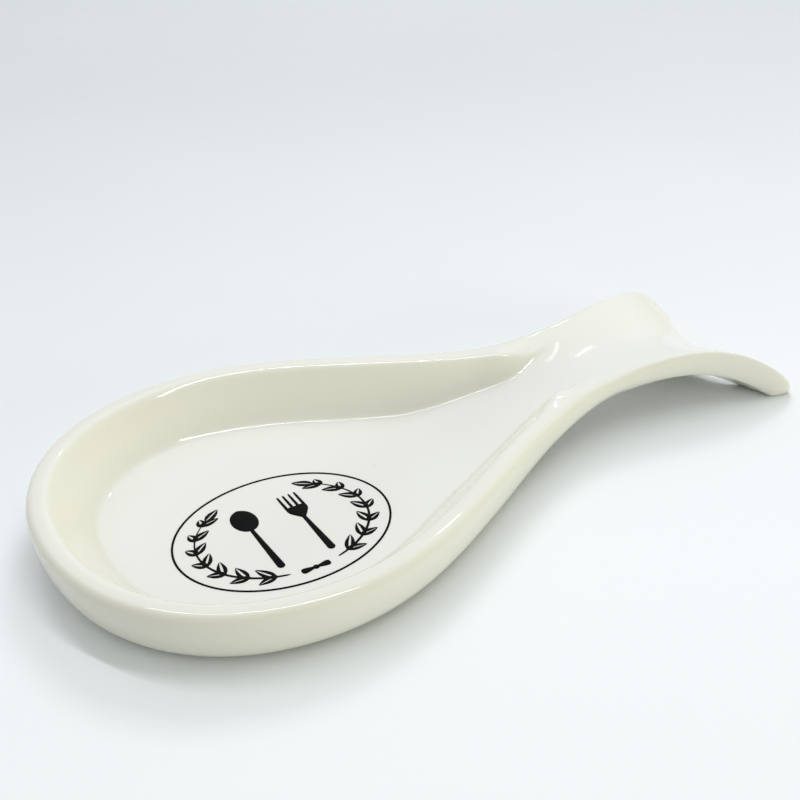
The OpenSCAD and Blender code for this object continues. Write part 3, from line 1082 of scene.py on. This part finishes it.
class Surface:
    """A material under construction: Object coordinates, a graph and one Principled shader."""

    def __init__(self, name: str) -> None:
        """Starts the material."""
        self.material = bpy.data.materials.new(name)
        self.material.use_nodes = True
        self.graph = Graph(self.material.node_tree)
        self.place = self.graph.add("ShaderNodeTexCoord").outputs["Object"]

    def mark(self, name: str) -> Any:
        """Reads a point attribute of the mesh."""
        return self.graph.add("ShaderNodeAttribute", attribute_name=name).outputs["Fac"]

    def tint(self, body: Any, mask: Any, strength: float, colour: Colour) -> Any:
        """Blends a body colour towards another one by a mask times a strength."""
        share = self.graph.maths("MULTIPLY", mask, strength)
        return self.graph.colour(share, body, colour)

    def finish(
        self, body: Any, rough: Any, height: Any, relief: float, **more: Any
    ) -> Material:
        """Adds the shader with its relief, and the output.

        Args:
            body: Base colour.
            rough: Roughness.
            height: Height of the relief, from 0 to 1.
            relief: Depth of the relief in metres.
            **more: Further inputs of the shader.

        Returns:
            The finished material.
        """
        sockets = {"Height": height, "Distance": relief, "Strength": 1.0}
        normal = self.graph.add("ShaderNodeBump", sockets).outputs[0]
        inputs = {"Base Color": body, "Roughness": rough, "Normal": normal, **more}
        shader = self.graph.add("ShaderNodeBsdfPrincipled", inputs)
        self.graph.add("ShaderNodeOutputMaterial", {"Surface": shader.outputs[0]})
        return self.material


@dataclass(frozen=True)
class GlazeFinish:
    """Gloss glaze over a cream body: milky where it lies level, with painted shade as a darker,
    creamier colour on the walls and over the rim, and along the foot of the inner wall.
    """

    # cream is painted shade: a darker, creamier copy of the glaze colour for steep faces and over
    # the rim.
    cream: Colour = (0.765, 0.755, 0.665)
    milk: Colour = (0.803, 0.807, 0.778)
    drift: Colour = (0.818, 0.822, 0.796)
    # Painted shade along the foot of the inner wall.
    foot_shade_colour: Colour = (0.76, 0.77, 0.71)
    speck: Colour = (0.50, 0.46, 0.38)
    roughness: Pair = (0.045, 0.09)
    steep_share: float = 0.9
    crest_share: float = 0.6
    foot_shade_share: float = 0.1
    pit_share: float = 0.35
    refraction: float = 1.6
    relief: float = 0.00005
    fired: FiredSurface = FiredSurface(24.0, 150.0, 260.0, 0.012)

    def build(self) -> Material:
        """Makes the glaze: colour drifts slowly, painted shade darkens the walls, the rim and the
        foot of the inner wall, and the highlights waver a little.

        Returns:
            The material.
        """
        s = Surface("glaze_cream")
        fired = self.fired.place(s.graph, s.place)
        body = s.graph.colour(fired["Drift"], self.milk, self.drift)
        # The steep, crest and foot-shade layers are painted shade on the glaze; the pits are real
        # pinholes.
        layers = (
            (s.mark("steep"), self.steep_share, self.cream),
            (s.mark("crest"), self.crest_share, self.cream),
            (s.mark("pool"), self.foot_shade_share, self.foot_shade_colour),
            (fired["Pits"], self.pit_share, self.speck),
        )
        for mask, strength, colour in layers:
            body = s.tint(body, mask, strength, colour)
        rough = s.graph.spread(fired["Peel"], self.roughness, margin=0.35)
        return s.finish(body, rough, fired["Height"], self.relief, IOR=self.refraction)


@dataclass(frozen=True)
class BiscuitFinish:
    """Bare fired clay: matt, grainy, a little stained where the foot was wiped."""

    clay: Colour = (0.62, 0.55, 0.44)
    stain: Colour = (0.45, 0.38, 0.29)
    pit_share: float = 0.5
    roughness: Pair = (0.78, 0.95)
    relief: float = 0.00012
    fired: FiredSurface = FiredSurface(60.0, 900.0, 500.0, 0.25)

    def build(self) -> Material:
        """Makes the bare clay: stain follows the slow waves and fills the pits.

        Returns:
            The material.
        """
        s = Surface("bare_clay")
        fired = self.fired.place(s.graph, s.place)
        body = s.graph.colour(fired["Drift"], self.clay, self.stain)
        body = s.tint(body, fired["Pits"], self.pit_share, self.stain)
        rough = s.graph.spread(fired["Peel"], self.roughness)
        return s.finish(body, rough, fired["Height"], self.relief)


@dataclass(frozen=True)
class InkFinish:
    """Fired-on black print: deep and even, satin beside the glaze, faintly mottled."""

    black: Colour = (0.0015, 0.0016, 0.0012)
    worn: Colour = (0.005, 0.005, 0.0045)
    bare: Colour = (0.12, 0.12, 0.11)
    worn_share: float = 0.5
    pit_share: float = 0.25
    roughness: Pair = (0.16, 0.30)
    refraction: float = 1.14
    relief: float = 0.000004
    fired: FiredSurface = FiredSurface(120.0, 1600.0, 1400.0, 0.03)

    def build(self) -> Material:
        """Makes the ink: black drifts to worn, and pinholes show a little of the glaze.

        Returns:
            The material.
        """
        s = Surface("fired_ink")
        fired = self.fired.place(s.graph, s.place)
        body = s.tint(self.black, fired["Drift"], self.worn_share, self.worn)
        body = s.tint(body, fired["Pits"], self.pit_share, self.bare)
        rough = s.graph.spread(fired["Peel"], self.roughness)
        return s.finish(body, rough, fired["Height"], self.relief, IOR=self.refraction)


@dataclass(frozen=True)
class TableFinish:
    """Pale satin table with painted shade that makes it a little darker and cooler away from the
    viewer.

    The far colour gives way to the near one from low to high, in metres along way. The cloud
    has its scale and the share by which it shifts the colour. Scales are per metre.
    """

    near: Colour = (0.865, 0.90, 0.955)
    far: Colour = (0.65, 0.685, 0.72)
    way: Triple = (-0.30, -0.954, 0.0)
    low: float = -0.50
    high: float = 0.14
    cloud: Pair = (5.0, 0.04)
    sheen: float = 60.0
    roughness: Pair = (0.42, 0.5)
    grain: float = 900.0
    relief: float = 0.00002

    def build(self) -> Material:
        """Makes the table: painted shade from the far colour to the near one along one direction,
        with a faint cloudiness.

        Returns:
            The material.
        """
        s = Surface("pale_table")
        g = s.graph
        sockets = {0: s.place, 1: self.way}
        along = g.add("ShaderNodeVectorMath", sockets, operation="DOT_PRODUCT").outputs["Value"]
        scale, depth = self.cloud
        cloud = g.spread(g.noise(s.place, scale, detail=3.0), (-depth, depth))
        # Painted shade: the table grows darker and cooler away from the viewer.
        share = g.maths("ADD", g.span(along, self.low, self.high), cloud)
        body = g.colour(share, self.far, self.near)
        rough = g.spread(g.noise(s.place, self.sheen, detail=3.0), self.roughness)
        return s.finish(body, rough, g.noise(s.place, self.grain), self.relief)


@dataclass(frozen=True)
class Table:
    """Plain table that the tray stands on."""

    radius: float = 5.0

    def build(self, material: Material) -> bpy.types.Object:
        """Makes one large face at z = 0."""
        r = self.radius
        mesh = bpy.data.meshes.new("table_top")
        mesh.from_pydata([(-r, -r, 0), (r, -r, 0), (r, r, 0), (-r, r, 0)], [], [(0, 1, 2, 3)])
        mesh.materials.append(material)
        made = add_object("table_top", mesh)
        return made


@dataclass(frozen=True)
class Lamp:
    """Rectangular lamp that looks at the tray.

    Attributes:
        name: Name of the lamp.
        way: Direction from the tray to the lamp.
        distance: Distance from the tray, in metres.
        size: Width and height, in metres.
        radiance: Brightness of its face.
        tint: Colour of its light.
        mirrored: Whether the glaze shows its face, or only takes its light.
    """

    name: str
    way: Triple
    distance: float
    size: Pair
    radiance: float
    tint: Colour = WHITE
    mirrored: bool = True

    def build(self) -> bpy.types.Object:
        """Makes the lamp. Its power is pi times its face times its radiance."""
        light = bpy.data.lights.new(self.name, "AREA")
        light.shape = "RECTANGLE"
        light.size, light.size_y = self.size
        light.energy = math.pi * (self.size[0] * self.size[1]) * self.radiance
        light.color = self.tint
        made = add_object(self.name, light)
        way = Vector(self.way).normalized()
        turn = way.to_track_quat("Z", "Y").to_matrix().to_4x4()
        made.matrix_world = Matrix.Translation(way * self.distance) @ turn
        made.visible_glossy = self.mirrored
        return made


@dataclass(frozen=True)
class Studio:
    """Soft studio light: a room that is paler overhead and at the back left, and five lamps.

    The small window, the narrow overhead tube and the short strip show as glints in the glaze.
    The key and the bounce only light the tray, because their large shapes would lie on it as
    hard patches. By the unit direction, the front turns into the back over twice the turn,
    with the back leaning to the left, and the walls have become the ceiling at ceiling_at.
    """

    front_wall: Colour = (0.34, 0.335, 0.20)
    back_wall: Colour = (0.60, 0.59, 0.46)
    front_ceiling: Colour = (0.56, 0.56, 0.48)
    back_ceiling: Colour = (1.0, 1.015, 1.06)
    lean: float = -0.45
    turn: float = 0.6
    ceiling_at: float = 0.9
    room_strength: float = 0.82
    backdrop: Colour = (0.70, 0.745, 0.775)
    lamps: tuple[Lamp, ...] = (
        Lamp("window", (0.46, 0.55, 0.70), 1.3, (0.085, 0.035), 10.5),
        Lamp("tube", (0.1, 0.05, 1.0), 1.2, (1.4, 0.05), 20.0, COOL),
        Lamp("strip", (0.295, 0.42, 0.855), 1.2, (0.24, 0.04), 2.4, COOL),
        Lamp("key", (0.46, 0.55, 0.72), 1.4, (0.5, 0.4), 7.4, WHITE, False),
        Lamp("bounce", (0.52, -0.83, 0.19), 1.5, (1.2, 0.36), 6.1, (1.0, 0.985, 0.88), False),
    )

    def build(self) -> None:
        """Makes the lamps and the world, which shows a plain backdrop to the camera."""
        for lamp in self.lamps:
            lamp.build()
        world = bpy.data.worlds.new("room")
        world.use_nodes = True
        g = Graph(world.node_tree)
        path = g.add("ShaderNodeLightPath").outputs
        way = g.add("ShaderNodeTexCoord").outputs["Generated"]
        along = g.add("ShaderNodeSeparateXYZ", {0: way}).outputs
        aside = g.maths("MULTIPLY", along["X"], self.lean)
        backward = g.span(g.maths("ADD", along["Y"], aside), -self.turn, self.turn)
        walls = g.colour(backward, self.front_wall, self.back_wall)
        ceiling = g.colour(backward, self.front_ceiling, self.back_ceiling)
        colour = g.colour(g.span(along["Z"], 0.0, self.ceiling_at), walls, ceiling)
        room = g.add("ShaderNodeBackground", {"Color": colour, "Strength": self.room_strength})
        seen = g.add("ShaderNodeBackground", {"Color": (*self.backdrop, 1), "Strength": 1.0})
        mirrored = g.maths("MAXIMUM", path["Is Glossy Ray"], path["Is Transmission Ray"])
        straight = g.maths("MAXIMUM", path["Is Camera Ray"], mirrored)
        blend = {0: straight, 1: room.outputs[0], 2: seen.outputs[0]}
        both = g.add("ShaderNodeMixShader", blend)
        g.add("ShaderNodeOutputWorld", {"Surface": both.outputs[0]})
        bpy.context.scene.world = world


@dataclass(frozen=True)
class CameraRig:
    """Camera that looks at a point of the table, with angles in degrees and a slight roll."""

    target: Triple = (0.011262, 0.036766, 0.0)
    distance: float = 0.448249
    azimuth: float = -29.702
    elevation: float = 31.415
    roll: float = -2.051
    lens: float = 58.5
    sensor: float = 36.0
    clip: Pair = (0.01, 50.0)

    def build(self) -> bpy.types.Object:
        """Makes the camera from its angles and distance.

        Returns:
            The camera, set as the scene's camera.
        """
        a, e, roll = (math.radians(v) for v in (self.azimuth, self.elevation, self.roll))
        back = Vector((math.sin(a) * math.cos(e), -math.cos(a) * math.cos(e), math.sin(e)))
        right = (-back).cross(Vector((0, 0, 1))).normalized()
        up = right.cross(-back)
        turned = right * math.cos(roll) + up * math.sin(roll)
        upright = up * math.cos(roll) - right * math.sin(roll)
        data = bpy.data.cameras.new("view")
        data.lens = self.lens
        data.sensor_width = self.sensor
        data.clip_start, data.clip_end = self.clip
        camera = add_object("view", data)
        axes = Matrix((turned, upright, back)).transposed().to_4x4()
        camera.matrix_world = Matrix.Translation(Vector(self.target) + back * self.distance) @ axes
        bpy.context.scene.camera = camera
        return camera


def main() -> None:
    logging.basicConfig(level=logging.INFO)
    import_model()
    CameraRig().build()
    body = TrayBody()
    body.build(GlazeFinish().build())
    FootBead().build(body, BiscuitFinish().build())
    Ornament().build(body, InkFinish().build())
    Table().build(TableFinish().build())
    Studio().build()
    bpy.context.scene.view_settings.view_transform = "Standard"


if __name__ == "__main__":
    main()
